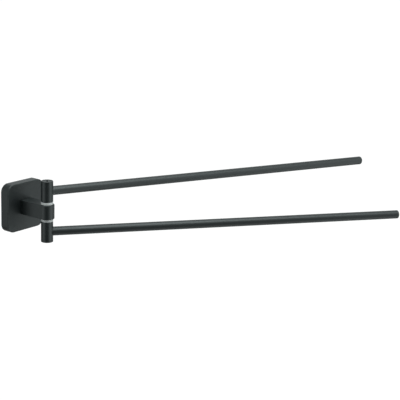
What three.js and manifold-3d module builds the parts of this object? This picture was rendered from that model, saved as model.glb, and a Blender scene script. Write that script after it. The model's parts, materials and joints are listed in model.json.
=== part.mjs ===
// A wall-mounted double swivel towel rail.
//
// A square wall plate carries a short neck. The neck ends in a round knuckle,
// and one steel pin goes down through it. A barrel turns on the pin above the
// knuckle and another below it, and each barrel holds one long straight rod.
//
// Millimetres, +Z up. The origin is on the wall, at the middle of the plate's
// back. -Y points out of the wall into the room, +X to the right as seen from
// the room.
import * as THREE from 'three';
import { mergeVertices } from 'three/addons/utils/BufferGeometryUtils.js';
import Module from 'manifold-3d';

const wasm = await Module();
wasm.setup();

// ---------------------------------------------------------------- dimensions
const FIT_GAP = 0.15; // between pieces that touch face to face
const SLIP_GAP = 0.3; // around pieces that slide into each other
const CUT = 2; // how far a cutting tool runs past the face it cuts
const BLIND_SPARE = 1; // how far a blind hole runs past what sits in it

// Wall plate: a hollow cover over a flat bracket
const PLATE_SIDE = 50;
const PLATE_DEPTH = 10;
const PLATE_CORNER = 8.5;
const PLATE_EDGE_ROUND = 0.8;
const COVER_WALL = 2.6;
const BRACKET_SIDE = 43.6;
const BRACKET_THICK = 2.5;
const BRACKET_CORNER = 5.4;
const EAR_WIDTH = 20;
const EAR_DEPTH = 4.6; // beyond the bracket's front
const SLOT_WIDTH = 5;
const SLOT_LENGTH = 10;
const SLOT_SPACING = 26;
const GRUB_RADIUS = 1.5;
const GRUB_LENGTH = 5;
const GRUB_CHAMFER = 0.4;
const GRUB_SOCKET = 1.5; // key sockets are measured across their flats
const GRUB_DEPTH = 4.9; // from the wall to the grub screw's axis

// Neck and its knuckle
const AXIS_Y = -40; // the hinge axis, out from the wall
const NECK_WIDTH = 15;
const NECK_HEIGHT = 15;
const NECK_CHAMFER = 0.6;
const KNUCKLE_RADIUS = NECK_WIDTH / 2;

// Screw and dowel that hold the neck from inside the cover
const NECK_SCREW_Z = 2;
const NECK_SCREW_RADIUS = 2.4;
const NECK_SCREW_REACH = 12;
const NECK_SCREW_HEAD_RADIUS = 4.2;
const NECK_SCREW_HEAD_HEIGHT = 3;
const NECK_SCREW_CHAMFER = 0.6;
const NECK_SCREW_SOCKET = 4;
const SOCKET_DEPTH = 2;
const SPRING_WASHER_THICK = 1.2;
const SPRING_WASHER_SPLIT = 0.8;
const DOWEL_Z = -4.9;
const DOWEL_RADIUS = 1.2;
const DOWEL_REACH = 6;

// Hinge stack, from the knuckle outwards along the axis
const WASHER_THICK = 2.4;
const BARREL_RADIUS = 6.15;
const BARREL_HEIGHT = 21.4;
const BARREL_CHAMFER = 0.3;
const PIN_RADIUS = 3;
const BUSH_WALL = 1.1;
const COUNTERBORE_DEPTH = 4.6;
const COUNTERBORE_RADIUS = 4.85;
const WAVE_WASHER_THICK = 0.3;
const WAVE_HEIGHT = 0.15;
const WAVE_COUNT = 3;
const HEAD_RADIUS = 4.6;
const HEAD_HEIGHT = 3.6;
const HEAD_CHAMFER = 0.3;
const TAP_RADIUS = 2.15;
const THREAD_RADIUS = 1.9;
const THREAD_LENGTH = 10;
const DRIVER_SLOT_WIDTH = 1.5;
const DRIVER_SLOT_LENGTH = 6.2;
const DRIVER_SLOT_DEPTH = 2.4;
const DRIVER_SLOT_TURN = -45; // degrees about the hinge axis from the Y axis

// Arms
const ROD_RADIUS = 4.6;
const ROD_BORE = 3.5;
const ROD_REACH = 390.6; // from the hinge axis to the rod's tip
const ROD_OFFSET = 0.1; // how far the rod sits outward of the barrel's middle
const SPIGOT_RADIUS = 3.2;
const SPIGOT_LENGTH = 16;
const PLUG_HEAD = 2.4;
const PLUG_ROUND = 1.1;
const PLUG_STEM = 9;
const UPPER_ARM_ANGLE = 66.5; // degrees from straight out, towards +X
const LOWER_ARM_ANGLE = 53.75;

// Derived heights on the hinge axis
const WASHER_BOTTOM = NECK_HEIGHT / 2 + FIT_GAP;
const BARREL_BOTTOM = WASHER_BOTTOM + WASHER_THICK + FIT_GAP;
const BARREL_TOP = BARREL_BOTTOM + BARREL_HEIGHT;
const COUNTERBORE_FLOOR = BARREL_TOP - COUNTERBORE_DEPTH;
const HEAD_TOP = BARREL_TOP - FIT_GAP;
const HEAD_BOTTOM = HEAD_TOP - HEAD_HEIGHT;
const PIN_HALF_LENGTH = HEAD_BOTTOM - FIT_GAP;
const ROD_HEIGHT = BARREL_BOTTOM + BARREL_HEIGHT / 2 + ROD_OFFSET;

const ROUND_SEGMENTS = 36; // on the hinge axis
const SMALL_SEGMENTS = 24;
const CORNER_SEGMENTS = 6; // in a quarter turn

// ----------------------------------------------------------------- materials
function blackCoating() {
  return new THREE.MeshStandardMaterial({ color: 0x2b2e2f, roughness: 0.45, metalness: 0.2 });
}

function whiteNylon() {
  return new THREE.MeshStandardMaterial({ color: 0xe4e6e3, roughness: 0.5, metalness: 0 });
}

function plainSteel() {
  return new THREE.MeshStandardMaterial({ color: 0x9a9da0, roughness: 0.35, metalness: 1 });
}

// ----------------------------------------------------- solids and their cuts
// Merges a geometry's shared vertices and makes a manifold solid of it.
function toSolid(geometry) {
  const bare = geometry.clone();
  bare.deleteAttribute('normal');
  bare.deleteAttribute('uv');
  const merged = mergeVertices(bare, 1e-4);
  const index = merged.index.array;
  const kept = [];
  for (let i = 0; i < index.length; i += 3) {
    const [a, b, c] = [index[i], index[i + 1], index[i + 2]];
    if (a !== b && b !== c && c !== a) kept.push(a, b, c);
  }
  return new wasm.Manifold(new wasm.Mesh({
    numProp: 3,
    vertProperties: new Float32Array(merged.attributes.position.array),
    triVerts: new Uint32Array(kept),
  }));
}

function toGeometry(solid) {
  const { vertProperties, triVerts } = solid.getMesh();
  const geometry = new THREE.BufferGeometry();
  geometry.setAttribute('position', new THREE.BufferAttribute(vertProperties, 3));
  geometry.setIndex(new THREE.BufferAttribute(triVerts, 1));
  geometry.computeVertexNormals();
  return geometry;
}

// Cuts every tool away from a body.
function cut(body, ...tools) {
  let solid = toSolid(body);
  for (const tool of tools) solid = solid.subtract(toSolid(tool));
  return toGeometry(solid);
}

// A turned piece about the Z axis from a list of [radius, height] points.
function turned(points, segments = ROUND_SEGMENTS) {
  const profile = points.map(([radius, height]) => new THREE.Vector2(radius, height));
  return new THREE.LatheGeometry(profile, segments).rotateX(Math.PI / 2);
}

// A ring about the Z axis between two radii and two heights.
function ring(inner, outer, low, high, segments = ROUND_SEGMENTS) {
  return turned([[inner, low], [outer, low], [outer, high], [inner, high], [inner, low]], segments);
}

// A round bar about the Z axis.
function zBar(radius, low, high, segments = SMALL_SEGMENTS) {
  return turned([[0, low], [radius, low], [radius, high], [0, high]], segments);
}

// A round bar along Y at a height z, between two distances from the wall.
function yBar(radius, near, far, z, segments = SMALL_SEGMENTS) {
  return zBar(radius, near, far, segments).rotateX(Math.PI / 2).translate(0, 0, z);
}

function box(xSize, ySize, zSize, x, y, z) {
  return new THREE.BoxGeometry(xSize, ySize, zSize).translate(x, y, z);
}

function roundedRectangle(width, height, radius) {
  const [x, y] = [width / 2 - radius, height / 2 - radius];
  const shape = new THREE.Shape();
  shape.absarc(x, -y, radius, -Math.PI / 2, 0);
  shape.absarc(x, y, radius, 0, Math.PI / 2);
  shape.absarc(-x, y, radius, Math.PI / 2, Math.PI);
  shape.absarc(-x, -y, radius, Math.PI, 1.5 * Math.PI);
  shape.closePath();
  return shape;
}

// An upright slot with round ends.
function slotOutline(width, length) {
  const rise = (length - width) / 2;
  const shape = new THREE.Shape();
  shape.absarc(0, rise, width / 2, 0, Math.PI);
  shape.absarc(0, -rise, width / 2, Math.PI, 2 * Math.PI);
  shape.closePath();
  return shape;
}

// Extrudes an outline (x, z) out of the wall, between two distances from it.
function outward(shape, near, far) {
  const options = { depth: far - near, bevelEnabled: false, curveSegments: CORNER_SEGMENTS };
  return new THREE.ExtrudeGeometry(shape, options)
    .translate(0, 0, near)
    .rotateX(Math.PI / 2);
}

// A hexagonal key socket about the Z axis.
function hexSocket(acrossFlats, low, high) {
  return zBar(acrossFlats / Math.sqrt(3), low, high, 6);
}

// --------------------------------------------------------------- wall plate
// The tool that drills the set screw's hole up through a level wall.
function grubScrewHole(underside, wall) {
  return zBar(GRUB_RADIUS + SLIP_GAP, underside - CUT, underside + wall + CUT).translate(0, -GRUB_DEPTH, 0);
}

// A cast square cover, open at the back, with a soft front edge.
function plateCover() {
  const outer = new THREE.ExtrudeGeometry(roundedRectangle(PLATE_SIDE, PLATE_SIDE, PLATE_CORNER), {
    depth: PLATE_DEPTH,
    bevelThickness: PLATE_EDGE_ROUND,
    bevelSize: PLATE_EDGE_ROUND,
    bevelOffset: -PLATE_EDGE_ROUND,
    bevelSegments: 3,
    curveSegments: CORNER_SEGMENTS,
  }).translate(0, 0, -PLATE_EDGE_ROUND).rotateX(Math.PI / 2);
  const inside = PLATE_SIDE - 2 * COVER_WALL;
  const hollow = roundedRectangle(inside, inside, PLATE_CORNER - COVER_WALL);
  const holeStart = PLATE_DEPTH - COVER_WALL - CUT;
  const holeEnd = PLATE_DEPTH + CUT;
  return cut(
    outer,
    box(2 * PLATE_SIDE, PLATE_SIDE, 2 * PLATE_SIDE, 0, PLATE_SIDE / 2, 0),
    outward(hollow, -CUT, PLATE_DEPTH - COVER_WALL),
    yBar(NECK_SCREW_RADIUS + SLIP_GAP, holeStart, holeEnd, NECK_SCREW_Z),
    yBar(DOWEL_RADIUS + SLIP_GAP, holeStart, holeEnd, DOWEL_Z),
    grubScrewHole(-PLATE_SIDE / 2, COVER_WALL),
  );
}

// A flat plate with two upright slots for wall screws and an ear at the top
// and at the bottom that the cover slides over.
function wallBracket() {
  const plate = outward(roundedRectangle(BRACKET_SIDE, BRACKET_SIDE, BRACKET_CORNER), 0, BRACKET_THICK);
  let solid = toSolid(plate);
  const earLength = EAR_DEPTH + BRACKET_THICK / 2;
  const earY = -BRACKET_THICK / 2 - earLength / 2;
  for (const side of [-1, 1]) {
    const earZ = side * (BRACKET_SIDE - BRACKET_THICK) / 2;
    solid = solid.add(toSolid(box(EAR_WIDTH, earLength, BRACKET_THICK, 0, earY, earZ)));
    const slot = outward(slotOutline(SLOT_WIDTH, SLOT_LENGTH), -CUT, BRACKET_THICK + CUT);
    solid = solid.subtract(toSolid(slot.translate(side * SLOT_SPACING / 2, 0, 0)));
  }
  return toGeometry(solid.subtract(toSolid(grubScrewHole(-BRACKET_SIDE / 2, BRACKET_THICK))));
}

// The set screw under the plate: its nose enters the bracket's lower ear.
function plateGrubScrew() {
  const low = -PLATE_SIDE / 2 + SLIP_GAP;
  const body = turned([
    [0, low],
    [GRUB_RADIUS, low],
    [GRUB_RADIUS, low + GRUB_LENGTH - GRUB_CHAMFER],
    [GRUB_RADIUS - GRUB_CHAMFER, low + GRUB_LENGTH],
    [0, low + GRUB_LENGTH],
  ], SMALL_SEGMENTS);
  return cut(body, hexSocket(GRUB_SOCKET, low - CUT, low + SOCKET_DEPTH)).translate(0, -GRUB_DEPTH, 0);
}

// --------------------------------------------------------------------- neck
// A square bar whose outer end is rounded into a knuckle of its own width.
function neck() {
  const root = -PLATE_DEPTH + NECK_CHAMFER;
  const outline = new THREE.Shape();
  outline.moveTo(KNUCKLE_RADIUS, root);
  outline.lineTo(-KNUCKLE_RADIUS, root);
  outline.absarc(0, AXIS_Y, KNUCKLE_RADIUS, Math.PI, 2 * Math.PI);
  outline.closePath();
  const body = new THREE.ExtrudeGeometry(outline, {
    depth: NECK_HEIGHT - 2 * NECK_CHAMFER,
    bevelThickness: NECK_CHAMFER,
    bevelSize: NECK_CHAMFER,
    bevelOffset: -NECK_CHAMFER,
    bevelSegments: 2,
    curveSegments: SMALL_SEGMENTS,
  }).translate(0, 0, NECK_CHAMFER - NECK_HEIGHT / 2);
  const face = PLATE_DEPTH + FIT_GAP;
  return cut(
    body,
    box(2 * NECK_WIDTH, PLATE_DEPTH, 2 * NECK_HEIGHT, 0, PLATE_DEPTH / 2 - face, 0),
    zBar(PIN_RADIUS + FIT_GAP, -NECK_HEIGHT, NECK_HEIGHT, ROUND_SEGMENTS).translate(0, AXIS_Y, 0),
    yBar(NECK_SCREW_RADIUS + FIT_GAP, face - CUT, face + NECK_SCREW_REACH + BLIND_SPARE, NECK_SCREW_Z),
    yBar(DOWEL_RADIUS + FIT_GAP, face - CUT, face + DOWEL_REACH + BLIND_SPARE, DOWEL_Z),
  );
}

// The screw that pulls the neck against the cover, from inside it.
function neckScrew() {
  const headFront = PLATE_DEPTH - COVER_WALL - SPRING_WASHER_THICK - 2 * FIT_GAP;
  const headBack = headFront - NECK_SCREW_HEAD_HEIGHT;
  const tip = PLATE_DEPTH + NECK_SCREW_REACH;
  const body = turned([
    [0, headBack],
    [NECK_SCREW_HEAD_RADIUS, headBack],
    [NECK_SCREW_HEAD_RADIUS, headFront],
    [NECK_SCREW_RADIUS, headFront],
    [NECK_SCREW_RADIUS, tip - NECK_SCREW_CHAMFER],
    [NECK_SCREW_RADIUS - NECK_SCREW_CHAMFER, tip],
    [0, tip],
  ], SMALL_SEGMENTS);
  return cut(body, hexSocket(NECK_SCREW_SOCKET, headBack - CUT, headBack + SOCKET_DEPTH))
    .rotateX(Math.PI / 2)
    .translate(0, 0, NECK_SCREW_Z);
}

// A split ring under the neck screw's head.
function neckSpringWasher() {
  const front = PLATE_DEPTH - COVER_WALL - FIT_GAP;
  const inner = NECK_SCREW_RADIUS + SLIP_GAP;
  const outer = NECK_SCREW_HEAD_RADIUS;
  const body = ring(inner, outer, front - SPRING_WASHER_THICK, front, SMALL_SEGMENTS);
  const split = box(SPRING_WASHER_SPLIT, 2 * outer, PLATE_DEPTH, 0, outer, front);
  return cut(body, split).rotateX(Math.PI / 2).translate(0, 0, NECK_SCREW_Z);
}

// The dowel that stops the neck from turning on its screw.
function neckDowel() {
  const start = PLATE_DEPTH - COVER_WALL + SLIP_GAP;
  return yBar(DOWEL_RADIUS, start, PLATE_DEPTH + DOWEL_REACH, DOWEL_Z);
}

// -------------------------------------------------------------- hinge stack
// The steel pin through the knuckle and both barrels, tapped at its two ends.
function pivotPin() {
  const end = PIN_HALF_LENGTH;
  const tapFloor = end - THREAD_LENGTH - BLIND_SPARE;
  return turned([
    [0, -tapFloor],
    [TAP_RADIUS, -tapFloor],
    [TAP_RADIUS, -end],
    [PIN_RADIUS, -end],
    [PIN_RADIUS, end],
    [TAP_RADIUS, end],
    [TAP_RADIUS, tapFloor],
    [0, tapFloor],
  ]);
}

function thrustWasher() {
  return ring(PIN_RADIUS + SLIP_GAP, BARREL_RADIUS, WASHER_BOTTOM, WASHER_BOTTOM + WASHER_THICK);
}

// A thin ring whose height rises and falls round its circle, so that it springs.
function waveWasher() {
  const middle = COUNTERBORE_FLOOR + FIT_GAP + WAVE_HEIGHT;
  const body = ring(PIN_RADIUS + SLIP_GAP, HEAD_RADIUS, middle, middle + WAVE_WASHER_THICK);
  const points = body.attributes.position;
  for (let i = 0; i < points.count; i += 1) {
    const angle = Math.atan2(points.getY(i), points.getX(i));
    points.setZ(i, points.getZ(i) + WAVE_HEIGHT * Math.cos(WAVE_COUNT * angle));
  }
  return body;
}

// The tool that cuts the driver slot in a retaining screw's head.
function driverSlot() {
  const outline = slotOutline(DRIVER_SLOT_WIDTH, DRIVER_SLOT_LENGTH);
  const options = { depth: DRIVER_SLOT_DEPTH + CUT, bevelEnabled: false, curveSegments: CORNER_SEGMENTS };
  return new THREE.ExtrudeGeometry(outline, options)
    .rotateZ(THREE.MathUtils.degToRad(DRIVER_SLOT_TURN))
    .translate(0, 0, HEAD_TOP - DRIVER_SLOT_DEPTH);
}

// The screw in the barrel's outer end. Its head clamps on the pin's end.
function retainingScrew() {
  const body = turned([
    [0, HEAD_BOTTOM - THREAD_LENGTH],
    [THREAD_RADIUS, HEAD_BOTTOM - THREAD_LENGTH],
    [THREAD_RADIUS, HEAD_BOTTOM],
    [HEAD_RADIUS, HEAD_BOTTOM],
    [HEAD_RADIUS, HEAD_TOP - HEAD_CHAMFER],
    [HEAD_RADIUS - HEAD_CHAMFER, HEAD_TOP],
    [0, HEAD_TOP],
  ]);
  return cut(body, driverSlot());
}

// --------------------------------------------------------------------- arms
// Each arm is made pointing straight out of the wall, along -Y.

// A turned barrel with a spigot at its side for the rod.
function barrel() {
  const bore = PIN_RADIUS + FIT_GAP + BUSH_WALL + 2 * FIT_GAP;
  const body = turned([
    [bore, BARREL_BOTTOM],
    [BARREL_RADIUS - BARREL_CHAMFER, BARREL_BOTTOM],
    [BARREL_RADIUS, BARREL_BOTTOM + BARREL_CHAMFER],
    [BARREL_RADIUS, BARREL_TOP - BARREL_CHAMFER],
    [BARREL_RADIUS - BARREL_CHAMFER, BARREL_TOP],
    [COUNTERBORE_RADIUS, BARREL_TOP],
    [COUNTERBORE_RADIUS, COUNTERBORE_FLOOR],
    [bore, COUNTERBORE_FLOOR],
    [bore, BARREL_BOTTOM],
  ]);
  const spigotStart = (bore + BARREL_RADIUS) / 2;
  const spigot = yBar(SPIGOT_RADIUS, spigotStart, BARREL_RADIUS + SPIGOT_LENGTH, ROD_HEIGHT);
  const boreTool = zBar(bore, BARREL_BOTTOM - CUT, BARREL_TOP + CUT, ROUND_SEGMENTS);
  return toGeometry(toSolid(body).add(toSolid(spigot)).subtract(toSolid(boreTool)));
}

function bush() {
  const inner = PIN_RADIUS + FIT_GAP;
  return ring(inner, inner + BUSH_WALL, BARREL_BOTTOM + FIT_GAP, COUNTERBORE_FLOOR - FIT_GAP);
}

// A tube that slides over the spigot. Its end is scooped out to sit on the barrel.
function rod() {
  const end = ROD_REACH - PLUG_HEAD - FIT_GAP;
  const tube = ring(ROD_BORE, ROD_RADIUS, 0, end, SMALL_SEGMENTS).rotateX(Math.PI / 2);
  const scoop = zBar(BARREL_RADIUS + SLIP_GAP, -BARREL_HEIGHT, BARREL_HEIGHT, ROUND_SEGMENTS);
  const boxBehind = box(2 * BARREL_HEIGHT, BARREL_RADIUS, 2 * BARREL_HEIGHT, 0, BARREL_RADIUS / 2, 0);
  return cut(tube, scoop, boxBehind).translate(0, 0, ROD_HEIGHT);
}

// The end cap: a head as wide as the rod, with a soft rim, and a stem inside it.
function rodPlug() {
  const headStart = ROD_REACH - PLUG_HEAD;
  const points = [
    [0, headStart - PLUG_STEM],
    [ROD_BORE - SLIP_GAP, headStart - PLUG_STEM],
    [ROD_BORE - SLIP_GAP, headStart],
    [ROD_RADIUS, headStart],
  ];
  const steps = 5;
  for (let i = 0; i <= steps; i += 1) {
    const angle = (i / steps) * Math.PI / 2;
    points.push([
      ROD_RADIUS - PLUG_ROUND * (1 - Math.cos(angle)),
      ROD_REACH - PLUG_ROUND * (1 - Math.sin(angle)),
    ]);
  }
  points.push([0, ROD_REACH]);
  return turned(points, SMALL_SEGMENTS).rotateX(Math.PI / 2).translate(0, 0, ROD_HEIGHT);
}

// ------------------------------------------------------------------ assembly
function part(name, geometry, material) {
  const mesh = new THREE.Mesh(geometry, material);
  mesh.name = name;
  return mesh;
}

function wallPlateGroup() {
  return new THREE.Group().add(
    part('plate_cover', plateCover(), blackCoating()),
    part('wall_bracket', wallBracket(), plainSteel()),
    part('plate_grub_screw', plateGrubScrew(), plainSteel()),
    part('neck', neck(), blackCoating()),
    part('neck_screw', neckScrew(), plainSteel()),
    part('neck_spring_washer', neckSpringWasher(), plainSteel()),
    part('neck_dowel', neckDowel(), plainSteel()),
  );
}

// The fixed pieces on the hinge axis at one end of the pin.
function pinEndGroup(prefix) {
  return new THREE.Group().add(
    part(`${prefix}_thrust_washer`, thrustWasher(), whiteNylon()),
    part(`${prefix}_wave_washer`, waveWasher(), plainSteel()),
    part(`${prefix}_retaining_screw`, retainingScrew(), blackCoating()),
  );
}

// The pieces that swing together.
function armGroup(prefix) {
  return new THREE.Group().add(
    part(`${prefix}_barrel`, barrel(), blackCoating()),
    part(`${prefix}_bush`, bush(), whiteNylon()),
    part(`${prefix}_rod`, rod(), blackCoating()),
    part(`${prefix}_rod_plug`, rodPlug(), blackCoating()),
  );
}

// Stands both groups of one end on the hinge axis. The lower end is the upper
// one turned over about the Y axis, so its arm swings the other way round.
function hingeEnd(prefix, armAngle, turnedOver) {
  const arm = armGroup(prefix);
  const swing = THREE.MathUtils.degToRad(armAngle);
  arm.rotation.z = turnedOver ? -swing : swing;
  const end = new THREE.Group().add(pinEndGroup(prefix), arm);
  end.rotation.y = turnedOver ? Math.PI : 0;
  return end;
}

const hinge = new THREE.Group();
hinge.position.y = AXIS_Y;
hinge.add(
  part('pivot_pin', pivotPin(), plainSteel()),
  hingeEnd('upper', UPPER_ARM_ANGLE, false),
  hingeEnd('lower', LOWER_ARM_ANGLE, true),
);

const towelRail = new THREE.Group();
towelRail.add(wallPlateGroup(), hinge);

export default towelRail;
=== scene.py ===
"""A matt black wall-mounted towel rail with two swinging rods, in a plain studio.

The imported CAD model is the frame. Each of its pieces is remade here at the
same size with fine rounds, threads and key sockets, and rides on the same body.
Pieces are drawn in millimetres and stored in metres.
"""

import json
import math

import bmesh
import bpy
from mathutils import Matrix, Vector


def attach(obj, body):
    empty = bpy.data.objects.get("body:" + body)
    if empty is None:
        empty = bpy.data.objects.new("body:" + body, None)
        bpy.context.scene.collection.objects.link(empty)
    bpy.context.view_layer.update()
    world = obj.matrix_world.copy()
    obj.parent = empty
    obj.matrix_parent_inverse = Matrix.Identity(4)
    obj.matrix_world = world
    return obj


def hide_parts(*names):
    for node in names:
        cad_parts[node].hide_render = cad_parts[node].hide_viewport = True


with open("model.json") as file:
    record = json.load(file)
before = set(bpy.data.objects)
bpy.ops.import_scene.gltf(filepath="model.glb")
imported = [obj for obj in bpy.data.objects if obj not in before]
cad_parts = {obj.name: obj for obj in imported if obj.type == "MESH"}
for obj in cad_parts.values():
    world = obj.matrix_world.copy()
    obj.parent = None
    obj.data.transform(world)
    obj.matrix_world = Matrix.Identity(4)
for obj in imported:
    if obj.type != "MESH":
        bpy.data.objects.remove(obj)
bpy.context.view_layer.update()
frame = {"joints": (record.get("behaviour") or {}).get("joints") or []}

MM = 0.001
TAU = 2 * math.pi

# ---------------------------------------------------------------- dimensions
# Millimetres, and degrees for angles, except where a comment says otherwise.
TOUCH = 0.03  # between faces that bear on each other
SLIP = 0.12  # round a pin or a screw in its hole
BLIND_SPARE = 1  # how far a blind hole runs past what sits in it
CUT_SPARE = 2  # how far a cutting tool runs past what it cuts
HAIRLINE = 0.06  # edge round where two pieces meet flush
SOCKET_DEPTH = 2
SOCKET_LEAD = 0.15  # chamfer at the mouth of a key socket

PLATE_SIDE = 50
PLATE_DEPTH = 10
PLATE_CORNER = 8.5
PLATE_EDGE_ROUND = 0.8
PLATE_BORDER = 1.5  # flat strip of the face that is meshed apart, beside the edge round
COVER_WALL = 2.6
COVER_RIM_ROUND = 0.25
COVER_INNER_ROUND = 1
BRACKET_SIDE = 43.6
BRACKET_THICK = 2.5
BRACKET_CORNER = 5.4
BRACKET_BACK_ROUND = 0.3
BRACKET_FRONT_ROUND = 0.5
EAR_WIDTH = 20
EAR_ROOT = 0.6  # the ears start inside the bracket's plate
EAR_DEPTH = 7.1
EAR_TIP_ROUND = 0.8
EAR_TIP_EASE = 0.4  # how much thinner an ear is at its tip, on each side
SLOT_WIDTH = 5
SLOT_LENGTH = 10
SLOT_SPACING = 26
GRUB_RADIUS = 1.5
GRUB_PITCH = 0.5
GRUB_SOCKET = 1.5
GRUB_LENGTH = 5
GRUB_DEPTH = 4.9
GRUB_SUNK = 0.3  # how far it sits inside the plate's underside
GRUB_RIM = (0.3, 0.1, 0.2)  # its rim's inset, edge round and height
GRUB_NOSE = (0.8, 0.6)  # its nose's inset and height
GRUB_HOLE_LEAD = 0.4  # chamfer at the mouth of its hole

AXIS_Y = -40
NECK_WIDTH = 15
NECK_HEIGHT = 15
NECK_EDGE_ROUND = 0.7
NECK_BORDER = 0.6  # as PLATE_BORDER, on the neck's top and underside
KNUCKLE_RADIUS = NECK_WIDTH / 2

NECK_SCREW_Z = 2
NECK_SCREW_RADIUS = 2.45
NECK_SCREW_PITCH = 0.8
NECK_SCREW_REACH = 12
NECK_SCREW_TIP = 0.8  # inset and height of its point
NECK_SCREW_UNDERCUT = 0.5
NECK_SCREW_SOCKET = 4
NECK_SCREW_HEAD_RADIUS = 4.2
NECK_SCREW_HEAD_HEIGHT = 3
NECK_SCREW_HEAD_ROUND = 0.4
NECK_SCREW_SEAT_ROUND = 0.15
SPRING_WASHER_THICK = 1.2
SPRING_WASHER_SLACK = 0.25
SPRING_WASHER_ROUND = 0.15
SPRING_WASHER_SPLIT = 12  # degrees
SPRING_WASHER_SET = 0.1  # how much one side of the split stands above the other
DOWEL_Z = -4.9
DOWEL_RADIUS = 1.25
DOWEL_REACH = 6
DOWEL_SUNK = 0.3
DOWEL_ROUND = 0.3

WASHER_THICK = 2.4
WASHER_INSET = 0.02
WASHER_ROUND = 0.22
BARREL_RADIUS = 6.15
BARREL_HEIGHT = 21.4
BARREL_BOTTOM_ROUND = 0.35
BARREL_TOP_ROUND = 0.3
BORE_ROUND = 0.2
PIN_RADIUS = 3
PIN_ROUND = 0.3
BUSH_WALL = 1.3
BUSH_ROUND = 0.15
WAVES = 3  # rises in one turn of the spring washer under a retaining screw
WAVE_HEIGHT = 0.15
WAVE_THICK = 0.3
WAVE_SLACK = 0.3  # round the pin
WAVE_INSET = 0.05  # inside the screw head's rim
WAVE_ROUND = 0.08
COUNTERBORE_DEPTH = 4.6
COUNTERBORE_RADIUS = 4.8
COUNTERBORE_ROUND = 0.15
HEAD_RADIUS = 4.65
HEAD_HEIGHT = 3.6
HEAD_ROUND = 0.2
THREAD_RADIUS = 2
THREAD_PITCH = 0.7
THREAD_LENGTH = 10
THREAD_TIP = (0.6, 0.4)  # inset and height of the screw's point
TAP_SLACK = 0.1
TAP_POINT = 0.8  # height of the drill point under a tapped hole
TAP_ROUND = 0.2
DRIVER_SLOT_WIDTH = 1.5
DRIVER_SLOT_LENGTH = 6.2
DRIVER_SLOT_DEPTH = 2.4
DRIVER_SLOT_TURN = -45  # degrees about the hinge axis from the Y axis
DRIVER_SLOT_LIP = 0.1
DRIVER_SLOT_FLARE = 0.4  # how much wider the cutter is above its lip

ROD_RADIUS = 4.6
ROD_BORE = 3.5
ROD_REACH = 390.6
ROD_OFFSET = 0.1
ROD_END_STRIP = 2  # stretch of tube that is meshed apart at each end
ROD_MOUTH = 1  # the same inside its open end
SPIGOT_RADIUS = 3.35
SPIGOT_LENGTH = 16
SPIGOT_ROUND = 0.5
BORE_RECUT = 5  # how far above and below the spigot's middle the bore is cut again
PLUG_HEAD = 2.4
PLUG_ROUND = 1.1
PLUG_STEM = 9
PLUG_STEM_ROUND = 0.5
PLUG_STEM_SLACK = 0.25
GRIP_SLACK = 0.08
GRIP_HALF_WIDTH = 0.5
GRIPS = (3, 6)  # the grip rings' places along the stem
ARM_ANGLES = {"upper": 66.5, "lower": 53.75}  # degrees from straight out

CAD_GAP = 0.15  # what the CAD model leaves between stacked pieces
WASHER_BOTTOM = NECK_HEIGHT / 2 + CAD_GAP
BARREL_BOTTOM = WASHER_BOTTOM + WASHER_THICK + CAD_GAP
BARREL_TOP = BARREL_BOTTOM + BARREL_HEIGHT
COUNTERBORE_FLOOR = BARREL_TOP - COUNTERBORE_DEPTH
HEAD_TOP = BARREL_TOP - CAD_GAP
HEAD_BOTTOM = HEAD_TOP - HEAD_HEIGHT
ROD_HEIGHT = BARREL_BOTTOM + BARREL_HEIGHT / 2 + ROD_OFFSET

HINGE = Vector(frame["joints"][0]["pos_m"])  # metres

# ---------------------------------------------------------------- mesh detail
FINE = 96  # steps round a large circle
SMALL = 48  # steps round a small one, a multiple of six for key sockets
CORNER_STEPS = 12  # steps in a corner of the wall plate
SMALLEST_CORNER = 0.4  # what a corner of the plate shrinks to as its rows move in
ROUND_STEPS = 5  # steps in a rounded edge
ROUND_MARGIN = 0.03  # flat strip beside a rounded edge, which keeps the next face flat
SHARP_ANGLE = math.radians(19)  # more than one step of a rounded edge
TURN_ROWS = 8  # rows in one turn of a screw thread
THREAD_DEPTH = 0.5  # depth of a thread over its pitch
FLANK_SLOPE = 2.6  # rise of a thread's flanks in one pitch, over the thread's depth
SOCKET_RING = 0.62  # radius of a circle round a hexagon's corners, over its width
SOCKET_POINT = 0.4  # depth of the point under a socket's floor, over its width
SAME_POINT = 1e-5  # points nearer to each other than this are merged
ON_AXIS = 1e-6  # a row closer to its middle than this is one point

# ------------------------------------------------------- camera and studio
# Metres, and degrees for angles. The camera's azimuth is 0 in front of the plate, and grows towards +X.
CAMERA_AZIMUTH = -53.378
CAMERA_ELEVATION = 14.908
CAMERA_ROLL = 2.113
CAMERA_DISTANCE = 1.1305  # to the middle of the hinge
CAMERA_LENS = 101.1  # millimetres
CAMERA_SENSOR = 36  # millimetres, square
HINGE_LEFT = 0.1539  # how far the hinge stands to the left of the camera's axis
HINGE_BELOW = 0.01137  # how far it stands below it

FLOOR_DROP = 1.4  # from the hinge down to the floor
FLOOR_RADIUS = 40
FLOOR_SEGMENTS = 64
FLOOR_COLOUR = (0.2, 0.2, 0.2, 1)
FLOOR_GLOW = 0.9
LIGHT_TINT = (0.955, 1, 1)
TOP_LIGHT_AT = (-0.15, -0.41, 1.3)
TOP_LIGHT_SIZE = (1.3, 1.65)
TOP_LIGHT_RADIANCE = 4.0
ROOM_LEVEL = 0.125
PANELS = {  # azimuth from +X, half widths of its full and of its fading light, brightness
    "right": (-67, 9, 38, 1.8),
    "left": (157, 8, 31, 1.25),
    "back": (27, 6, 60, 0.72),
}

# ---------------------------------------------------------------- materials
NOISE_LOW = 0.3  # nearly all of a noise's values lie between these two
NOISE_HIGH = 0.7
GRAIN_RELIEF = 0.00003  # metres
SWELL_RELIEF = 0.00005


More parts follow.
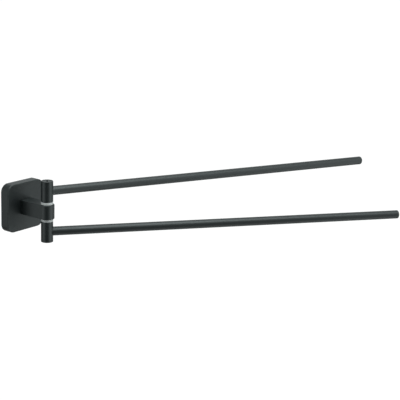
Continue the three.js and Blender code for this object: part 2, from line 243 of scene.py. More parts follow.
# ------------------------------------------------------------ mesh building
def shade_smooth(bm):
    """Marks a bmesh as smooth but for its real corners."""
    for face in bm.faces:
        face.smooth = True
    for edge in bm.edges:
        edge.smooth = edge.calc_face_angle(0) < SHARP_ANGLE


def object_of(name, bm):
    """Turns a bmesh into an object of the scene."""
    mesh = bpy.data.meshes.new(name)
    bm.to_mesh(mesh)
    bm.free()
    piece = bpy.data.objects.new(name, mesh)
    bpy.context.scene.collection.objects.link(piece)
    return piece


def finish_mesh(name, bm):
    """Makes an object of a bmesh in millimetres, with its faces outward."""
    bmesh.ops.remove_doubles(bm, verts=bm.verts, dist=SAME_POINT)
    bmesh.ops.recalc_face_normals(bm, faces=bm.faces)
    bmesh.ops.scale(bm, vec=(MM, MM, MM), verts=bm.verts)
    shade_smooth(bm)
    return object_of(name, bm)


def loft(name, rows, closed=False):
    """Joins rows of points, each a closed loop, with faces. A row of one point is a pole."""
    bm = bmesh.new()
    loops = [[bm.verts.new(point) for point in row] for row in rows]
    pairs = list(zip(loops, loops[1:]))
    if closed:
        pairs.append((loops[-1], loops[0]))
    for first, second in pairs:
        count = max(len(first), len(second))
        for i in range(count):
            j = (i + 1) % count
            if len(first) == 1:
                bm.faces.new((first[0], second[i], second[j]))
            elif len(second) == 1:
                bm.faces.new((first[i], second[0], first[j]))
            else:
                bm.faces.new((first[i], second[i], second[j], first[j]))
    if not closed:
        for row in (loops[0], loops[-1]):
            if len(row) > 1:
                bm.faces.new(row)
    return finish_mesh(name, bm)


def rounded_corners(corners, closed):
    """An outline from corners (a, b, round), with each round turned into an arc."""
    outline = []
    count = len(corners)
    for i, corner in enumerate(corners):
        here = Vector(corner[:2])
        radius = corner[2] if len(corner) > 2 else 0
        at_end = not closed and i in (0, count - 1)
        if radius <= 0 or at_end:
            outline.append(tuple(here))
            continue
        to_last = (Vector(corners[i - 1][:2]) - here).normalized()
        to_next = (Vector(corners[(i + 1) % count][:2]) - here).normalized()
        half = to_last.angle(to_next) / 2
        centre = here + (to_last + to_next).normalized() * radius / math.sin(half)
        cut_back = radius / math.tan(half)
        start = here + to_last * cut_back - centre
        end = here + to_next * cut_back - centre
        sweep = math.pi - 2 * half
        outline.append(tuple(here + to_last * (cut_back + ROUND_MARGIN)))
        for step in range(ROUND_STEPS + 1):
            t = step / ROUND_STEPS
            mixed = start * math.sin((1 - t) * sweep) + end * math.sin(t * sweep)
            outline.append(tuple(centre + mixed / math.sin(sweep)))
        outline.append(tuple(here + to_next * (cut_back + ROUND_MARGIN)))
    return outline


def circle(radius, height, steps):
    """A circular loop about Z."""
    return [
        (radius * math.cos(TAU * i / steps), radius * math.sin(TAU * i / steps), height)
        for i in range(steps)
    ]


def hexagon(across_flats, height):
    """A hexagonal loop with as many points as a small circle."""
    row = []
    for i in range(SMALL):
        angle = TAU * i / SMALL
        off_flat = (angle + math.pi / 6) % (math.pi / 3) - math.pi / 6
        radius = across_flats / 2 / math.cos(off_flat)
        row.append((radius * math.cos(angle), radius * math.sin(angle), height))
    return row


def turned_rows(corners, steps, closed=False):
    """Rows of a turned body about Z from corners (radius, height, round)."""
    rows = []
    for radius, height in rounded_corners(corners, closed):
        rows.append([(0, 0, height)] if radius < ON_AXIS else circle(radius, height, steps))
    return rows


def turned(name, corners, steps=FINE, closed=False):
    """A body turned about Z from corners (radius, height, round)."""
    return loft(name, turned_rows(corners, steps, closed), closed)


def ring_corners(inner, outer, low, high, edge):
    """The four rounded corners of a ring's section."""
    return [(inner, low, edge), (outer, low, edge), (outer, high, edge), (inner, high, edge)]


def section_at(section, angle, lift):
    """A row of points: a section (radius, height), turned to an angle and lifted."""
    return [(r * math.cos(angle), r * math.sin(angle), height + lift) for r, height in section]


def thread_rows(radius, pitch, start, end):
    """Rows of a screw thread from height start to end. It runs out to its core at both ends."""
    depth = THREAD_DEPTH * pitch
    count = max(2, round(abs(end - start) / pitch * TURN_ROWS))
    rows = []
    for k in range(count + 1):
        height = start + (end - start) * k / count
        fade = min(1, min(k, count - k) / TURN_ROWS)
        row = []
        for i in range(SMALL):
            phase = (height / pitch - i / SMALL) % 1
            crest = min(1, FLANK_SLOPE * min(phase, 1 - phase))
            r = radius - depth + depth * crest * fade
            row.append((r * math.cos(TAU * i / SMALL), r * math.sin(TAU * i / SMALL), height))
        rows.append(row)
    return rows


def socket_rows(head_radius, edge, top, across_flats):
    """Rows from a head's rim over its top, down into a hexagonal key socket, to its floor."""
    rim = [(head_radius, top - 2 * edge), (head_radius, top, edge), (0, top)]
    floor = top - SOCKET_DEPTH
    rows = turned_rows(rim, SMALL)[1:-1]
    rows.append(circle(across_flats * SOCKET_RING + SOCKET_LEAD, top, SMALL))
    rows.append(hexagon(across_flats + SOCKET_LEAD, top))
    rows.append(hexagon(across_flats, top - SOCKET_LEAD))
    rows.append(hexagon(across_flats, floor))
    rows.append([(0, 0, floor - across_flats * SOCKET_POINT)])
    return rows


def place(piece, matrix):
    """Puts a piece drawn in millimetres about its own origin where it belongs."""
    piece.matrix_world = matrix
    return piece


def mm(x, y, z):
    """A move given in millimetres."""
    return Matrix.Translation((x * MM, y * MM, z * MM))


OUTWARD = Matrix.Rotation(math.pi / 2, 4, "X")  # local +Z points out of the wall
ON_HINGE = Matrix.Translation(HINGE)
TURNED_OVER = ON_HINGE @ Matrix.Rotation(math.pi, 4, "Y")
ENDS = {"upper": ON_HINGE, "lower": TURNED_OVER}


def arm_matrix(end):
    """The frame of an arm drawn along -Y at the hinge's upper end."""
    turn = math.radians(ARM_ANGLES[end]) * (1 if end == "upper" else -1)
    return ENDS[end] @ Matrix.Rotation(turn, 4, "Z")


def boolean(piece, tool, operation="DIFFERENCE"):
    """Cuts a tool from a piece, or joins it on, for good. The tool is used up."""
    modifier = piece.modifiers.new("cut", "BOOLEAN")
    modifier.operation = operation
    modifier.solver = "EXACT"
    modifier.object = tool
    bpy.context.view_layer.update()
    evaluated = piece.evaluated_get(bpy.context.evaluated_depsgraph_get())
    mesh = bpy.data.meshes.new_from_object(evaluated)
    piece.modifiers.clear()
    old = piece.data
    piece.data = mesh
    bpy.data.meshes.remove(old)
    mesh.name = piece.name
    bpy.data.objects.remove(tool)
    bm = bmesh.new()
    bm.from_mesh(mesh)
    shade_smooth(bm)
    bm.to_mesh(mesh)
    bm.free()
    return piece


# ------------------------------------------------------------ node materials
def new_material(name):
    """A material with a Principled shader, and its node tree and shader."""
    material = bpy.data.materials.new(name)
    material.use_nodes = True
    tree = material.node_tree
    shader = tree.nodes["Principled BSDF"]
    return material, tree, shader


def noise(tree, scale, detail=3, roughness=0.5, stretch=(1, 1, 1)):
    """A noise value over the piece's own coordinates, in steps of 1 / scale metres."""
    coordinates = tree.nodes.new("ShaderNodeTexCoord")
    mapping = tree.nodes.new("ShaderNodeMapping")
    mapping.inputs["Scale"].default_value = stretch
    texture = tree.nodes.new("ShaderNodeTexNoise")
    texture.inputs["Scale"].default_value = scale
    texture.inputs["Detail"].default_value = detail
    texture.inputs["Roughness"].default_value = roughness
    tree.links.new(coordinates.outputs["Object"], mapping.inputs["Vector"])
    tree.links.new(mapping.outputs["Vector"], texture.inputs["Vector"])
    return texture.outputs["Fac"]


def value_range(tree, value, low, high, start=NOISE_LOW, end=NOISE_HIGH):
    """Maps the part of a value between start and end to the range from low to high."""
    node = tree.nodes.new("ShaderNodeMapRange")
    node.inputs["From Min"].default_value = start
    node.inputs["From Max"].default_value = end
    node.inputs["To Min"].default_value = low
    node.inputs["To Max"].default_value = high
    tree.links.new(value, node.inputs["Value"])
    return node.outputs["Result"]


def colour_between(tree, value, dark, light):
    """A colour that runs from dark to light with a value."""
    ramp = tree.nodes.new("ShaderNodeValToRGB")
    first, last = ramp.color_ramp.elements
    first.position = NOISE_LOW
    first.color = (*dark, 1)
    last.position = NOISE_HIGH
    last.color = (*light, 1)
    tree.links.new(value, ramp.inputs["Fac"])
    return ramp.outputs["Color"]


def bump(tree, shader, height, strength, distance, before=None):
    """Adds a relief of a height map to the shader, after an earlier relief if there is one."""
    node = tree.nodes.new("ShaderNodeBump")
    node.inputs["Strength"].default_value = strength
    node.inputs["Distance"].default_value = distance
    tree.links.new(height, node.inputs["Height"])
    if before is not None:
        tree.links.new(before, node.inputs["Normal"])
    tree.links.new(node.outputs["Normal"], shader.inputs["Normal"])
    return node.outputs["Normal"]


def black_coating():
    """Baked matt black coating: a fine even grain over a slow orange-peel swell."""
    material, tree, shader = new_material("black_coating")
    cloud = noise(tree, scale=60, detail=4)
    tone = colour_between(tree, cloud, (0.0042, 0.0062, 0.0064), (0.0062, 0.0088, 0.0090))
    tree.links.new(tone, shader.inputs["Base Color"])
    grain = noise(tree, scale=2600, detail=2, roughness=0.6)
    tree.links.new(value_range(tree, grain, low=0.40, high=0.50), shader.inputs["Roughness"])
    swell = noise(tree, scale=420, detail=1)
    peel = bump(tree, shader, swell, strength=0.25, distance=SWELL_RELIEF)
    bump(tree, shader, grain, strength=0.35, distance=GRAIN_RELIEF, before=peel)
    shader.inputs["IOR"].default_value = 1.52
    shader.inputs["Specular Tint"].default_value = (0.93, 1, 1, 1)
    return material


def white_nylon():
    """Turned natural nylon: milky, a little light passes through, faint lathe rings."""
    material, tree, shader = new_material("white_nylon")
    cloud = noise(tree, scale=350, detail=3)
    tone = colour_between(tree, cloud, (0.41, 0.43, 0.43), (0.50, 0.52, 0.51))
    tree.links.new(tone, shader.inputs["Base Color"])
    rings = noise(tree, scale=900, detail=2, stretch=(0.02, 0.02, 8))
    tree.links.new(value_range(tree, cloud, low=0.38, high=0.5), shader.inputs["Roughness"])
    bump(tree, shader, rings, strength=0.2, distance=GRAIN_RELIEF)
    shader.inputs["Subsurface Weight"].default_value = 0.35
    shader.inputs["Subsurface Radius"].default_value = (1, 1, 0.9)
    shader.inputs["Subsurface Scale"].default_value = 0.0012
    return material


def plated_steel():
    """Bright zinc plate: cool grey with slow stains and a fine brushed grain."""
    material, tree, shader = new_material("plated_steel")
    shader.inputs["Metallic"].default_value = 1
    stain = noise(tree, scale=140, detail=5, roughness=0.6)
    tone = colour_between(tree, stain, (0.50, 0.52, 0.55), (0.66, 0.66, 0.64))
    tree.links.new(tone, shader.inputs["Base Color"])
    brushed = noise(tree, scale=1500, detail=3, stretch=(0.06, 1, 1))
    tree.links.new(value_range(tree, brushed, low=0.24, high=0.42), shader.inputs["Roughness"])
    bump(tree, shader, brushed, strength=0.25, distance=GRAIN_RELIEF)
    return material


def turned_steel():
    """The same plate on turned pieces: the tool marks run round them."""
    material, tree, shader = new_material("turned_steel")
    shader.inputs["Metallic"].default_value = 1
    stain = noise(tree, scale=200, detail=4)
    tone = colour_between(tree, stain, (0.52, 0.54, 0.56), (0.64, 0.65, 0.65))
    tree.links.new(tone, shader.inputs["Base Color"])
    rings = noise(tree, scale=1200, detail=2, stretch=(0.03, 0.03, 6))
    tree.links.new(value_range(tree, rings, low=0.22, high=0.36), shader.inputs["Roughness"])
    bump(tree, shader, rings, strength=0.2, distance=GRAIN_RELIEF)
    return material


def dark_steel():
    """Black oxide steel: nearly black, oily sheen, brown in places."""
    material, tree, shader = new_material("dark_steel")
    shader.inputs["Metallic"].default_value = 0.6
    stain = noise(tree, scale=900, detail=4)
    tone = colour_between(tree, stain, (0.018, 0.018, 0.020), (0.040, 0.036, 0.033))
    tree.links.new(tone, shader.inputs["Base Color"])
    tree.links.new(value_range(tree, stain, low=0.3, high=0.5), shader.inputs["Roughness"])
    bump(tree, shader, stain, strength=0.2, distance=GRAIN_RELIEF)
    return material


BLACK = black_coating()
NYLON = white_nylon()
PLATED = plated_steel()
TURNED = turned_steel()
DARK = dark_steel()


def stand_for(piece, node, body, material):
    """Gives a piece its material and body, and hides the CAD node it stands for."""
    piece.data.materials.clear()
    piece.data.materials.append(material)
    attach(piece, body)
    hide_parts(node)
    return piece


# --------------------------------------------------------------- wall plate
def rounded_square(side, corner, height):
    """A loop round a square with round corners, lying at a height."""
    half = side / 2 - corner
    row = []
    for quarter in range(4):
        middle = TAU * (quarter + 0.5) / 4
        cx = half * math.copysign(1, math.cos(middle))
        cy = half * math.copysign(1, math.sin(middle))
        for i in range(CORNER_STEPS + 1):
            angle = TAU * (quarter + i / CORNER_STEPS) / 4
            row.append((cx + corner * math.cos(angle), cy + corner * math.sin(angle), height))
    return row


def plate_rows(side, corner, corners):
    """Rows of a body with a rounded-square plan from corners (inset, height, round)."""
    rows = []
    for inset, height in rounded_corners(corners, False):
        if inset >= side / 2 - ON_AXIS:
            rows.append([(0, 0, height)])
        else:
            shrunk = max(corner - inset, SMALLEST_CORNER)
            rows.append(rounded_square(side - 2 * inset, shrunk, height))
    return rows


def round_tool(radius, low, high, matrix):
    """A bar for cutting a round hole."""
    corners = [(0, low), (radius, low), (radius, high), (0, high)]
    return place(turned("tool", corners, SMALL), matrix)


def countersink_tool(radius, low, high, lead, matrix):
    """A bar for cutting a hole whose mouth at its low end is chamfered at 45 degrees."""
    start = low - CUT_SPARE
    mouth = radius + lead + CUT_SPARE
    corners = [(0, start), (mouth, start), (radius, low + lead), (radius, high), (0, high)]
    return place(turned("tool", corners, SMALL), matrix)


def plate_cover():
    """The cast cover: soft front edge, hollow back, holes for the neck's screw, dowel and set screw."""
    inner_front = PLATE_DEPTH - COVER_WALL
    middle = PLATE_SIDE / 2
    rows = plate_rows(PLATE_SIDE, PLATE_CORNER, [
        (middle, PLATE_DEPTH),
        (PLATE_EDGE_ROUND + PLATE_BORDER, PLATE_DEPTH),
        (0, PLATE_DEPTH, PLATE_EDGE_ROUND),
        (0, 0, COVER_RIM_ROUND),
        (COVER_WALL, 0, COVER_RIM_ROUND),
        (COVER_WALL, inner_front, COVER_INNER_ROUND),
        (middle, inner_front),
    ])
    cover = place(loft("plate_cover_fine", rows), OUTWARD)
    cut = (inner_front - CUT_SPARE, PLATE_DEPTH + CUT_SPARE)
    for radius, height in ((NECK_SCREW_RADIUS, NECK_SCREW_Z), (DOWEL_RADIUS, DOWEL_Z)):
        boolean(cover, round_tool(radius + SLIP, *cut, mm(0, 0, height) @ OUTWARD))
    cut = (0, COVER_WALL + CUT_SPARE)
    under = mm(0, -GRUB_DEPTH, -PLATE_SIDE / 2)
    boolean(cover, countersink_tool(GRUB_RADIUS + SLIP, *cut, GRUB_HOLE_LEAD, under))
    return stand_for(cover, "plate_cover", "base", BLACK)


def slot_tool(width, length, levels):
    """A cutter for a slot along Y with round ends. Levels are (height, extra width)."""
    rise = (length - width) / 2
    rows = []
    for height, extra in levels:
        radius = (width + extra) / 2
        row = []
        for i in range(SMALL):
            angle = TAU * (i + 0.5) / SMALL
            lift = math.copysign(rise, math.sin(angle))
            row.append((radius * math.cos(angle), radius * math.sin(angle) + lift, height))
        rows.append(row)
    return loft("tool", rows)


def ear(side):
    """A bent ear of the bracket, above (1) or below (-1): a plate that stands out of the wall."""
    profile = [(0, EAR_ROOT), (0, EAR_DEPTH, EAR_TIP_ROUND), (EAR_TIP_ROUND + EAR_TIP_EASE, EAR_DEPTH)]
    rows = []
    for inset, depth in rounded_corners(profile, False):
        across = EAR_WIDTH / 2 - inset
        thick = BRACKET_THICK / 2 - min(inset, EAR_TIP_EASE)
        rows.append([
            (across, thick, depth),
            (-across, thick, depth),
            (-across, -thick, depth),
            (across, -thick, depth),
        ])
    height = side * (BRACKET_SIDE - BRACKET_THICK) / 2
    return place(loft("ear", rows), mm(0, 0, height) @ OUTWARD)


def wall_bracket():
    """The pressed steel plate on the wall, with two slots and two ears."""
    plate = plate_rows(BRACKET_SIDE, BRACKET_CORNER, [
        (BRACKET_SIDE / 2, 0),
        (0, 0, BRACKET_BACK_ROUND),
        (0, BRACKET_THICK, BRACKET_FRONT_ROUND),
        (BRACKET_SIDE / 2, BRACKET_THICK),
    ])
    bracket = place(loft("wall_bracket_fine", plate), OUTWARD)
    levels = ((-CUT_SPARE, 0), (BRACKET_THICK + CUT_SPARE, 0))
    for side in (-1, 1):
        slot = slot_tool(SLOT_WIDTH, SLOT_LENGTH, levels)
        boolean(bracket, place(slot, mm(side * SLOT_SPACING / 2, 0, 0) @ OUTWARD))
        boolean(bracket, ear(side), "UNION")
    hole = mm(0, -GRUB_DEPTH, -BRACKET_SIDE / 2)
    boolean(bracket, round_tool(GRUB_RADIUS + SLIP, -CUT_SPARE, BRACKET_THICK + CUT_SPARE, hole))
    return stand_for(bracket, "wall_bracket", "base", PLATED)


def plate_grub_screw():
    """The set screw under the plate: threaded, socket downwards, chamfered nose."""
    rim_inset, rim_round, rim_height = GRUB_RIM
    nose_inset, nose_height = GRUB_NOSE
    rim_radius = GRUB_RADIUS - rim_inset
    rows = socket_rows(rim_radius, rim_round, 0, GRUB_SOCKET)[::-1]
    rows += thread_rows(GRUB_RADIUS, GRUB_PITCH, -rim_height, nose_height - GRUB_LENGTH)
    rows += turned_rows([(GRUB_RADIUS - nose_inset, -GRUB_LENGTH), (0, -GRUB_LENGTH)], SMALL)
    downwards = Matrix.Rotation(math.pi, 4, "X")
    screw = loft("plate_grub_screw_fine", rows)
    place(screw, mm(0, -GRUB_DEPTH, GRUB_SUNK - PLATE_SIDE / 2) @ downwards)
    return stand_for(screw, "plate_grub_screw", "base", DARK)


# --------------------------------------------------------------------- neck
def neck_outline(inset, height):
    """The neck's plan, moved in by inset: a straight bar with a round end."""
    radius = KNUCKLE_RADIUS - inset
    root = -PLATE_DEPTH - TOUCH
    row = []
    for i in range(FINE + 1):
        angle = math.pi * (1 + i / FINE)
        row.append((radius * math.cos(angle), AXIS_Y + radius * math.sin(angle), height))
    return row + [(radius, root, height), (-radius, root, height)]


def neck():
    """Bar and knuckle in one casting, with soft edges along it."""
    half = NECK_HEIGHT / 2
    border = NECK_EDGE_ROUND + NECK_BORDER
    corners = [(border, -half), (0, -half, NECK_EDGE_ROUND), (0, half, NECK_EDGE_ROUND), (border, half)]
    rows = [neck_outline(inset, height) for inset, height in rounded_corners(corners, False)]
    body = loft("neck_fine", rows)
    end = half + CUT_SPARE
    boolean(body, round_tool(PIN_RADIUS + SLIP, -end, end, mm(0, AXIS_Y, 0)))
    holes = (
        (NECK_SCREW_RADIUS, NECK_SCREW_REACH, NECK_SCREW_Z),
        (DOWEL_RADIUS, DOWEL_REACH, DOWEL_Z),
    )
    for radius, reach, height in holes:
        root = mm(0, -PLATE_DEPTH, height) @ OUTWARD
        boolean(body, round_tool(radius + SLIP, -CUT_SPARE, reach + BLIND_SPARE, root))
    return stand_for(body, "neck", "base", BLACK)


def neck_screw():
    """Threaded screw with a cylinder head; its key socket faces the wall."""
    head_front = PLATE_DEPTH - COVER_WALL - SPRING_WASHER_THICK - 2 * CAD_GAP
    head_back = head_front - NECK_SCREW_HEAD_HEIGHT
    tip = PLATE_DEPTH + NECK_SCREW_REACH
    start = head_front + NECK_SCREW_UNDERCUT
    head = socket_rows(NECK_SCREW_HEAD_RADIUS, NECK_SCREW_HEAD_ROUND, -head_back, NECK_SCREW_SOCKET)
    rows = [[(x, -y, -z) for x, y, z in row] for row in head[::-1]]
    rows += turned_rows([
        (NECK_SCREW_HEAD_RADIUS, head_front - NECK_SCREW_HEAD_ROUND),
        (NECK_SCREW_HEAD_RADIUS, head_front, NECK_SCREW_SEAT_ROUND),
        (NECK_SCREW_RADIUS, head_front),
    ], SMALL)
    rows += thread_rows(NECK_SCREW_RADIUS, NECK_SCREW_PITCH, start, tip - NECK_SCREW_TIP)
    rows += turned_rows([(NECK_SCREW_RADIUS - NECK_SCREW_TIP, tip), (0, tip)], SMALL)
    screw = place(loft("neck_screw_fine", rows), mm(0, 0, NECK_SCREW_Z) @ OUTWARD)
    return stand_for(screw, "neck_screw", "base", TURNED)


def neck_spring_washer():
    """A split ring with a slight helical set, square in section with eased edges."""
    front = PLATE_DEPTH - COVER_WALL - CAD_GAP
    back = front - SPRING_WASHER_THICK
    inner = NECK_SCREW_RADIUS + SPRING_WASHER_SLACK
    corners = ring_corners(inner, NECK_SCREW_HEAD_RADIUS, back, front, SPRING_WASHER_ROUND)
    middle = (front + back) / 2
    squeeze = 1 - SPRING_WASHER_SET / SPRING_WASHER_THICK
    section = [(r, middle + (h - middle) * squeeze) for r, h in rounded_corners(corners, True)]
    split = math.radians(SPRING_WASHER_SPLIT)
    rows = []
    for i in range(SMALL + 1):
        t = i / SMALL
        angle = math.pi / 2 + split / 2 + (TAU - split) * t
        rows.append(section_at(section, angle, SPRING_WASHER_SET * (t - 0.5)))
    washer = place(loft("neck_spring_washer_fine", rows), mm(0, 0, NECK_SCREW_Z) @ OUTWARD)
    return stand_for(washer, "neck_spring_washer", "base", TURNED)


def neck_dowel():
    """The plain pin beside the neck's screw."""
    start = PLATE_DEPTH - COVER_WALL + DOWEL_SUNK
    end = PLATE_DEPTH + DOWEL_REACH
    corners = [
        (0, start),
        (DOWEL_RADIUS, start, DOWEL_ROUND),
        (DOWEL_RADIUS, end, DOWEL_ROUND),
        (0, end),
    ]
    dowel = place(turned("neck_dowel_fine", corners, SMALL), mm(0, 0, DOWEL_Z) @ OUTWARD)
    return stand_for(dowel, "neck_dowel", "base", TURNED)


# -------------------------------------------------------------- hinge stack
def pivot_pin():
    """Ground pin with rounded ends, each with a tapped hole."""
    end = HEAD_BOTTOM - CAD_GAP
    tap = THREAD_RADIUS + TAP_SLACK
    floor = end - THREAD_LENGTH - BLIND_SPARE
    corners = [
        (0, floor - TAP_POINT),
        (tap, floor),
        (tap, end, TAP_ROUND),
        (PIN_RADIUS, end, PIN_ROUND),
        (PIN_RADIUS, -end, PIN_ROUND),
        (tap, -end, TAP_ROUND),
        (tap, -floor),
        (0, TAP_POINT - floor),
    ]
    pin = place(turned("pivot_pin_fine", corners, SMALL), ON_HINGE)
    return stand_for(pin, "pivot_pin", "base", TURNED)


def thrust_washer(end):
    """The pale washer between the knuckle and a barrel. It fills the gap between them."""
    low = NECK_HEIGHT / 2 + TOUCH
    high = BARREL_BOTTOM - TOUCH
    corners = ring_corners(PIN_RADIUS + SLIP, BARREL_RADIUS - WASHER_INSET, low, high, WASHER_ROUND)
    washer = turned(f"{end}_thrust_washer_fine", corners, closed=True)
    return stand_for(place(washer, ENDS[end]), f"{end}_thrust_washer", "base", NYLON)


def wave_washer(end):
    """A thin spring ring that rises and falls as it goes round."""
    low = COUNTERBORE_FLOOR + CAD_GAP + WAVE_HEIGHT
    inner = PIN_RADIUS + WAVE_SLACK
    outer = HEAD_RADIUS - WAVE_INSET
    section = rounded_corners(ring_corners(inner, outer, low, low + WAVE_THICK, WAVE_ROUND), True)
    rows = []
    for i in range(FINE):
        angle = TAU * i / FINE
        rows.append(section_at(section, angle, WAVE_HEIGHT * math.cos(WAVES * angle)))
    washer = place(loft(f"{end}_wave_washer_fine", rows, closed=True), ENDS[end])
    return stand_for(washer, f"{end}_wave_washer", "base", TURNED)


def retaining_screw(end):
    """The coated screw in a barrel's outer end, with a driver slot in its flush head."""
    tip = HEAD_BOTTOM - THREAD_LENGTH
    tip_inset, tip_height = THREAD_TIP
    rows = turned_rows([(0, tip), (THREAD_RADIUS - tip_inset, tip)], SMALL)
    rows += thread_rows(THREAD_RADIUS, THREAD_PITCH, tip + tip_height, HEAD_BOTTOM - tip_height)
    rows += turned_rows([
        (THREAD_RADIUS, HEAD_BOTTOM),
        (HEAD_RADIUS, HEAD_BOTTOM, HEAD_ROUND),
        (HEAD_RADIUS, HEAD_TOP, HEAD_ROUND),
        (0, HEAD_TOP),
    ], SMALL)
    screw = loft(f"{end}_retaining_screw_fine", rows)
    levels = (
        (HEAD_TOP - DRIVER_SLOT_DEPTH, 0),
        (HEAD_TOP - DRIVER_SLOT_LIP, 0),
        (HEAD_TOP + DRIVER_SLOT_LIP, DRIVER_SLOT_FLARE),
    )
    slot = slot_tool(DRIVER_SLOT_WIDTH, DRIVER_SLOT_LENGTH, levels)
    boolean(screw, place(slot, Matrix.Rotation(math.radians(DRIVER_SLOT_TURN), 4, "Z")))
    return stand_for(place(screw, ENDS[end]), f"{end}_retaining_screw", "base", BLACK)


# --------------------------------------------------------------------- arms
def barrel(end):
    """The turned barrel with softly rounded rims, its bore, and the spigot for the rod."""
    bore = PIN_RADIUS + SLIP + BUSH_WALL + SLIP
    body = turned(f"{end}_barrel_fine", [
        (bore, BARREL_BOTTOM, BORE_ROUND),
        (BARREL_RADIUS, BARREL_BOTTOM, BARREL_BOTTOM_ROUND),
        (BARREL_RADIUS, BARREL_TOP, BARREL_TOP_ROUND),
        (COUNTERBORE_RADIUS, BARREL_TOP, COUNTERBORE_ROUND),
        (COUNTERBORE_RADIUS, COUNTERBORE_FLOOR, BORE_ROUND),
        (bore, COUNTERBORE_FLOOR, BORE_ROUND),
    ], closed=True)
    root = (bore + BARREL_RADIUS) / 2
    tip = BARREL_RADIUS + SPIGOT_LENGTH
    corners = [(0, root), (SPIGOT_RADIUS, root), (SPIGOT_RADIUS, tip, SPIGOT_ROUND), (0, tip)]
    spigot = turned("spigot", corners, SMALL)
    boolean(body, place(spigot, mm(0, 0, ROD_HEIGHT) @ OUTWARD), "UNION")
    boolean(body, round_tool(bore, -BORE_RECUT, BORE_RECUT, mm(0, 0, ROD_HEIGHT)))
    return stand_for(place(body, arm_matrix(end)), f"{end}_barrel", f"{end}_arm", BLACK)


def bush(end):
    """The plain bearing in a barrel, which turns on the pin."""
    inner = PIN_RADIUS + SLIP
    low = BARREL_BOTTOM + CAD_GAP
    high = COUNTERBORE_FLOOR - CAD_GAP
    corners = ring_corners(inner, inner + BUSH_WALL, low, high, BUSH_ROUND)
    sleeve = turned(f"{end}_bush_fine", corners, closed=True)
    return stand_for(place(sleeve, arm_matrix(end)), f"{end}_bush", f"{end}_arm", NYLON)


def saddle(radius):
    """A loop where a tube of this radius along +Z meets the barrel across it."""
    reach = BARREL_RADIUS + TOUCH
    row = []
    for x, y, _ in circle(radius, 0, FINE):
        row.append((x, y, math.sqrt(reach**2 - x**2)))
    return row


def rod(end):
    """The long tube, saddled on the barrel at one end and faced square at the other."""
    tip = ROD_REACH - PLUG_HEAD - TOUCH
    near = BARREL_RADIUS + ROD_END_STRIP
    rows = [saddle(ROD_RADIUS)]
    rows += [circle(ROD_RADIUS, reach, FINE) for reach in (near, ROD_REACH / 2, tip - ROD_END_STRIP)]
    rows += turned_rows([
        (ROD_RADIUS, tip - ROD_MOUTH),
        (ROD_RADIUS, tip, HAIRLINE),
        (ROD_BORE, tip, HAIRLINE),
        (ROD_BORE, tip - ROD_MOUTH),
    ], FINE)
    rows += [circle(ROD_BORE, near, FINE), saddle(ROD_BORE)]
    tube = loft(f"{end}_rod_fine", rows, closed=True)
    along = arm_matrix(end) @ mm(0, 0, ROD_HEIGHT) @ OUTWARD
    return stand_for(place(tube, along), f"{end}_rod", f"{end}_arm", BLACK)


def rod_plug(end):
    """The end cap: a head flush with the tube, with a soft rim, and a stem with two grip rings."""
    head = ROD_REACH - PLUG_HEAD
    start = head - PLUG_STEM
    stem = ROD_BORE - PLUG_STEM_SLACK
    corners = [(0, start), (stem, start, PLUG_STEM_ROUND)]
    for grip in GRIPS:
        crest = start + grip
        corners += [
            (stem, crest - GRIP_HALF_WIDTH),
            (ROD_BORE - GRIP_SLACK, crest),
            (stem, crest + GRIP_HALF_WIDTH),
        ]
    corners += [
        (stem, head),
        (ROD_RADIUS, head, HAIRLINE),
        (ROD_RADIUS, ROD_REACH, PLUG_ROUND),
        (0, ROD_REACH),
    ]
    cap = turned(f"{end}_rod_plug_fine", corners)
    along = arm_matrix(end) @ mm(0, 0, ROD_HEIGHT) @ OUTWARD
    return stand_for(place(cap, along), f"{end}_rod_plug", f"{end}_arm", BLACK)


# ------------------------------------------- making the camera and studio
def camera_directions():
    """The camera's own right, up and back directions."""
    azimuth = math.radians(CAMERA_AZIMUTH)
    elevation = math.radians(CAMERA_ELEVATION)
    back = Vector((
        math.sin(azimuth) * math.cos(elevation),
        -math.cos(azimuth) * math.cos(elevation),
        math.sin(elevation),
    ))
    right = Vector((0, 0, 1)).cross(back).normalized()
    up = back.cross(right)
    roll = Matrix.Rotation(math.radians(CAMERA_ROLL), 3, back)
    return roll @ right, roll @ up, back


def make_camera():
    """Puts the camera before the hinge, which stands a little beside its axis."""
    right, up, back = camera_directions()
    data = bpy.data.cameras.new("camera")
    data.lens = CAMERA_LENS
    data.sensor_width = CAMERA_SENSOR
    camera = bpy.data.objects.new("camera", data)
    position = HINGE + back * CAMERA_DISTANCE + right * HINGE_LEFT + up * HINGE_BELOW
    axes = Matrix((right, up, back)).transposed().to_4x4()
    camera.matrix_world = Matrix.Translation(position) @ axes
    bpy.context.scene.collection.objects.link(camera)
    bpy.context.scene.camera = camera


def make_floor():
    """A wide pale floor, well below the rail. It glows a little, so that it stays even."""
    bm = bmesh.new()
    bmesh.ops.create_circle(bm, cap_ends=True, radius=FLOOR_RADIUS, segments=FLOOR_SEGMENTS)
    floor = object_of("floor", bm)
    floor.location.z = -FLOOR_DROP
    floor.visible_glossy = False
    floor.visible_diffuse = False
    material, _, shader = new_material("floor")
    shader.inputs["Base Color"].default_value = FLOOR_COLOUR
    shader.inputs["Roughness"].default_value = 1
    shader.inputs["Specular IOR Level"].default_value = 0
    shader.inputs["Emission Color"].default_value = (1, 1, 1, 1)
    shader.inputs["Emission Strength"].default_value = FLOOR_GLOW
    floor.data.materials.append(material)


def make_top_light():
    """A large softbox that hangs over the rail and faces down."""
    data = bpy.data.lights.new("top_light", "AREA")
    data.shape = "RECTANGLE"
    data.size, data.size_y = TOP_LIGHT_SIZE
    data.color = LIGHT_TINT
    data.energy = TOP_LIGHT_RADIANCE * math.pi * data.size * data.size_y
    light = bpy.data.objects.new("top_light", data)
    light.location = TOP_LIGHT_AT
    bpy.context.scene.collection.objects.link(light)


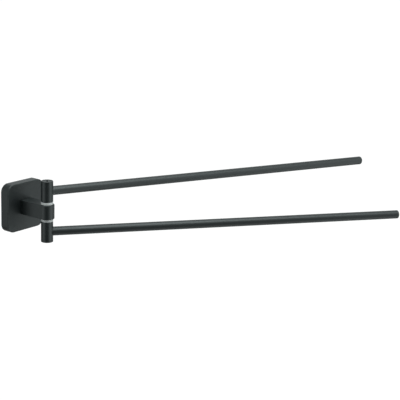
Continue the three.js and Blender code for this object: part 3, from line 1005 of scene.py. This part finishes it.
def add_panel(tree, heading, brightness, azimuth, core, edge, strength):
    """Adds a tall panel of light to the brightness. Its sides fade from core to edge, in degrees."""
    angle = math.radians(azimuth)
    towards = tree.nodes.new("ShaderNodeVectorMath")
    towards.operation = "DOT_PRODUCT"
    towards.inputs[1].default_value = (math.cos(angle), math.sin(angle), 0)
    tree.links.new(heading, towards.inputs[0])
    outermost = math.cos(math.radians(edge))
    innermost = math.cos(math.radians(core))
    inside = value_range(tree, towards.outputs["Value"], 0, strength, outermost, innermost)
    total = tree.nodes.new("ShaderNodeMath")
    tree.links.new(brightness, total.inputs[0])
    tree.links.new(inside, total.inputs[1])
    return total.outputs["Value"]


def horizontal_heading(tree):
    """The level direction that a ray goes in, of length 1."""
    coordinates = tree.nodes.new("ShaderNodeTexCoord")
    level_part = tree.nodes.new("ShaderNodeVectorMath")
    level_part.operation = "MULTIPLY"
    level_part.inputs[1].default_value = (1, 1, 0)
    tree.links.new(coordinates.outputs["Generated"], level_part.inputs[0])
    unit = tree.nodes.new("ShaderNodeVectorMath")
    unit.operation = "NORMALIZE"
    tree.links.new(level_part.outputs["Vector"], unit.inputs[0])
    return unit.outputs["Vector"]


def make_world():
    """A dim room with tall panels of light. The camera itself sees plain white."""
    world = bpy.data.worlds.new("studio")
    bpy.context.scene.world = world
    world.use_nodes = True
    tree = world.node_tree
    background = tree.nodes["Background"]
    background.inputs["Color"].default_value = (*LIGHT_TINT, 1)
    heading = horizontal_heading(tree)
    dim = tree.nodes.new("ShaderNodeValue")
    dim.outputs["Value"].default_value = ROOM_LEVEL
    brightness = dim.outputs["Value"]
    for panel in PANELS.values():
        brightness = add_panel(tree, heading, brightness, *panel)
    path = tree.nodes.new("ShaderNodeLightPath")
    seen = tree.nodes.new("ShaderNodeMix")
    seen.inputs["B"].default_value = 1
    tree.links.new(path.outputs["Is Camera Ray"], seen.inputs["Factor"])
    tree.links.new(brightness, seen.inputs["A"])
    tree.links.new(seen.outputs["Result"], background.inputs["Strength"])


def make_studio():
    """The plain bright room round the rail."""
    make_world()
    make_floor()
    make_top_light()
    bpy.context.scene.view_settings.view_transform = "Standard"


make_camera()
make_studio()

plate_cover()
wall_bracket()
plate_grub_screw()
neck()
neck_screw()
neck_spring_washer()
neck_dowel()
pivot_pin()
for rail_end in ENDS:
    thrust_washer(rail_end)
    wave_washer(rail_end)
    retaining_screw(rail_end)
    barrel(rail_end)
    bush(rail_end)
    rod(rail_end)
    rod_plug(rail_end)
